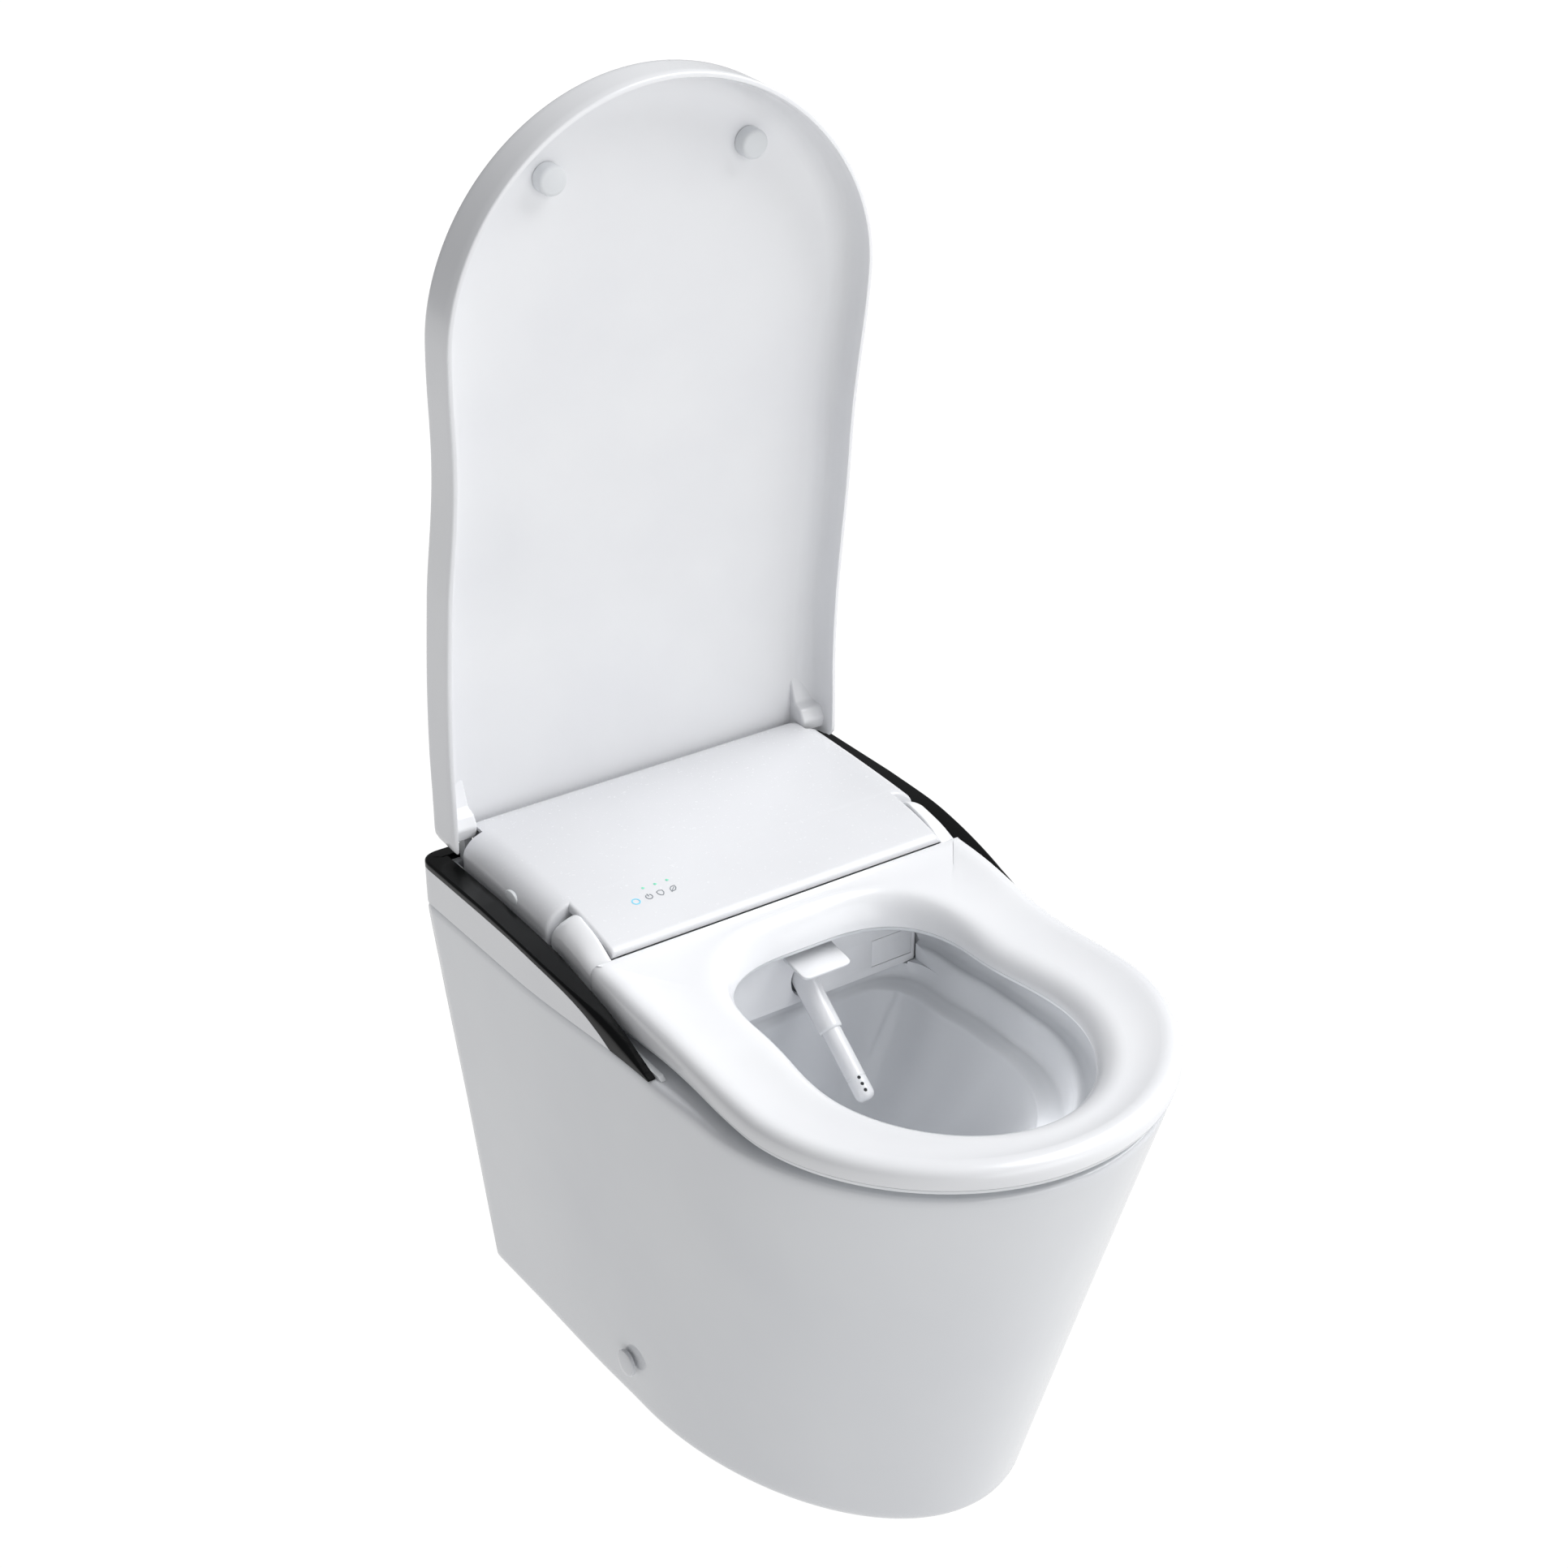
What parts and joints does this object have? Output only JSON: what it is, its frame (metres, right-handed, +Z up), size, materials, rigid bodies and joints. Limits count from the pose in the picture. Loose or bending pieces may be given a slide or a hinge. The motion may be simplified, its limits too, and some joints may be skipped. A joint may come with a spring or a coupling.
{
  "type": "electric bidet toilet",
  "caption": "Close-to-wall china toilet with an electric bidet seat unit: hinged lid and seat ring, telescoping wash wand, drying flap and side button.",
  "frame": {"origin": "centre of the footprint of the whole object, on the floor", "axes": "+X to the sitter's left as seen from the front, +Y to the wall, +Z up; the front of the bowl is at -Y"},
  "size_m": [0.3992, 0.6, 1.0395],
  "materials": {
    "china": "gloss glaze",
    "white_gloss": "gloss",
    "white_satin": "satin",
    "black_gloss": "gloss",
    "grey_plastic": "matte",
    "soft_grey": "soft",
    "steel": "brushed",
    "brass": "cast",
    "board": "board",
    "light": "lens"
  },
  "bodies": {
    "base": {"bowl_pedestal": "china", "bolt_cap_left": "china", "bolt_cap_right": "china", "trim_band": "black_gloss", "side_panel_left": "white_gloss", "side_panel_right": "white_gloss", "rear_panel": "white_gloss", "unit_chassis": "white_satin", "unit_cover": "white_gloss", "led_ring": "light", "led_dot_1": "light", "led_dot_2": "light", "led_dot_3": "light", "front_fascia": "white_gloss", "wand_guide": "grey_plastic", "wand_motor": "steel", "dryer_duct": "grey_plastic", "blower_housing": "grey_plastic", "water_heater": "steel", "valve_block": "brass", "water_inlet": "brass", "deodoriser": "soft_grey", "control_board": "board", "power_supply": "grey_plastic", "seat_drive": "steel", "seat_damper": "grey_plastic", "flush_tank": "soft_grey", "flush_pump": "grey_plastic", "waste_pipe": "soft_grey", "seat_pin_left": "steel", "seat_pin_right": "steel", "seat_bearing_left": "grey_plastic", "seat_bearing_right": "grey_plastic", "lid_bracket_left": "white_satin", "lid_bracket_right": "white_satin", "lid_pin_left": "steel", "lid_pin_right": "steel"},
    "lid": {"lid_shell": "white_gloss", "lid_bumper_left": "soft_grey", "lid_bumper_right": "soft_grey"},
    "seat": {"seat_top": "white_gloss", "seat_base": "white_satin", "seat_foot_front_left": "soft_grey", "seat_foot_front_right": "soft_grey", "seat_foot_rear_left": "soft_grey", "seat_foot_rear_right": "soft_grey"},
    "wand": {"wand_outer": "white_gloss"},
    "wand_tip": {"wand_inner": "white_gloss"},
    "pinion": {"wand_pinion": "grey_plastic"},
    "flap": {"nozzle_flap": "white_gloss"},
    "shutter": {"dryer_shutter": "white_gloss"},
    "impeller": {"blower_impeller": "white_satin"},
    "button": {"side_button": "soft_grey"}
  },
  "joints": [
    {"name": "lid_hinge", "type": "hinge", "parent": "base", "child": "lid", "pos_m": [0, 0.283, 0.45], "axis": [-1, 0, 0], "range_deg": [-88.5, 0]},
    {"name": "seat_hinge", "type": "hinge", "parent": "base", "child": "seat", "pos_m": [0, 0.118, 0.424], "axis": [-1, 0, 0], "range_deg": [0, 95]},
    {"name": "wand_slide", "type": "slide", "parent": "base", "child": "wand", "axis": [0, -0.788, -0.6157], "range_m": [-0.05, 0]},
    {"name": "wand_tip_slide", "type": "slide", "parent": "wand", "child": "wand_tip", "axis": [0, -0.788, -0.6157], "range_m": [-0.06, 0]},
    {"name": "pinion_spin", "type": "hinge", "parent": "base", "child": "pinion", "pos_m": [0.012, 0.09944, 0.36162], "axis": [1, 0, 0], "range_deg": [-480, 1]},
    {"name": "flap_hinge", "type": "hinge", "parent": "base", "child": "flap", "pos_m": [0.012, 0.0583, 0.382], "axis": [-1, 0, 0], "range_deg": [-58, 1]},
    {"name": "shutter_hinge", "type": "hinge", "parent": "base", "child": "shutter", "pos_m": [0.099, 0.0632, 0.363], "axis": [-1, 0, 0], "range_deg": [0, 40], "stiffness_Nm_per_rad": 0.02},
    {"name": "impeller_spin", "type": "hinge", "parent": "base", "child": "impeller", "pos_m": [0.122, 0.205, 0.404], "axis": [0, 0, 1], "continuous": true},
    {"name": "button_press", "type": "slide", "parent": "base", "child": "button", "axis": [1, 0, 0], "range_m": [0, 0.0025], "stiffness_N_per_m": 400, "springref_m": -0.001}
  ],
  "couplings": [
    {"joint": "wand_tip_slide", "follows": "wand_slide", "ratio": 1.2},
    {"joint": "pinion_spin", "follows": "wand_slide", "rad_per_m": 166.67},
    {"joint": "flap_hinge", "follows": "wand_slide", "rad_per_m": 20.2}
  ]
}
